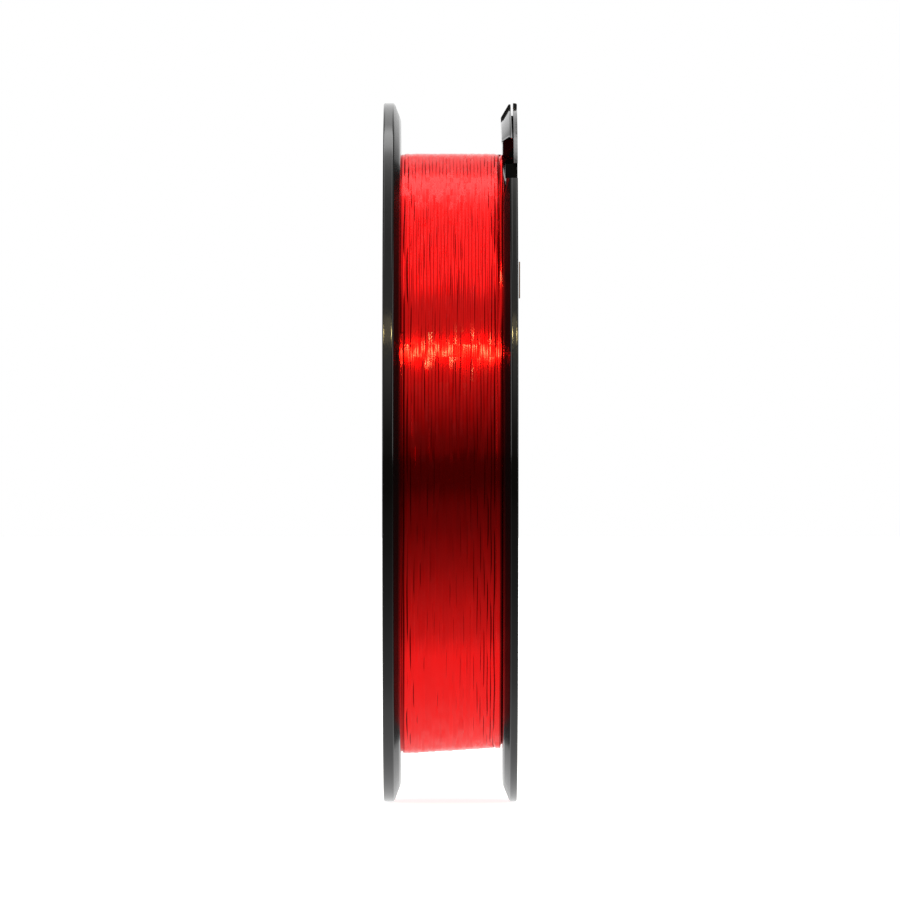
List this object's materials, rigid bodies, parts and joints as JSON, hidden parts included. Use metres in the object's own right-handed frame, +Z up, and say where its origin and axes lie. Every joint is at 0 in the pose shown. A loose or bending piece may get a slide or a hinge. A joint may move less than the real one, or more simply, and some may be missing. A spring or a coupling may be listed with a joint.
{
  "type": "fishing line spool",
  "caption": "Narrow black filler spool with round flanges, filled with red nylon fishing line, with a springy line clip in the rim.",
  "frame": {"origin": "on the spool's axle, midway between the outer faces of the two flanges", "axes": "+X along the axle towards the flange with the line clip, +Z up with the clip at the top of the rim, -Y towards the viewer and the clip's lead-in slot"},
  "size_m": [0.0208, 0.1078, 0.1078],
  "materials": {
    "flange_black": "glossy moulded, black",
    "tube_black": "satin moulded, black",
    "line_red": "clear red nylon monofilament",
    "label_paper": "smooth coated paper, no lettering",
    "sticker_paper": "matt paper, no lettering"
  },
  "bodies": {
    "spool": {"left_flange": "flange_black", "right_flange": "flange_black", "drum_tube": "tube_black", "spindle_tube": "tube_black", "line_bulk": "line_red", "line_winding": "line_red", "left_label": "label_paper", "right_label": "label_paper", "rim_sticker": "sticker_paper"},
    "clip": {"line_clip": "flange_black"}
  },
  "joints": [
    {"name": "clip_bend", "type": "hinge", "parent": "spool", "child": "clip", "pos_m": [0.00871, 0, 0.04735], "axis": [0, -1, 0], "range_deg": [0, 10], "stiffness_Nm_per_rad": 0.1}
  ]
}
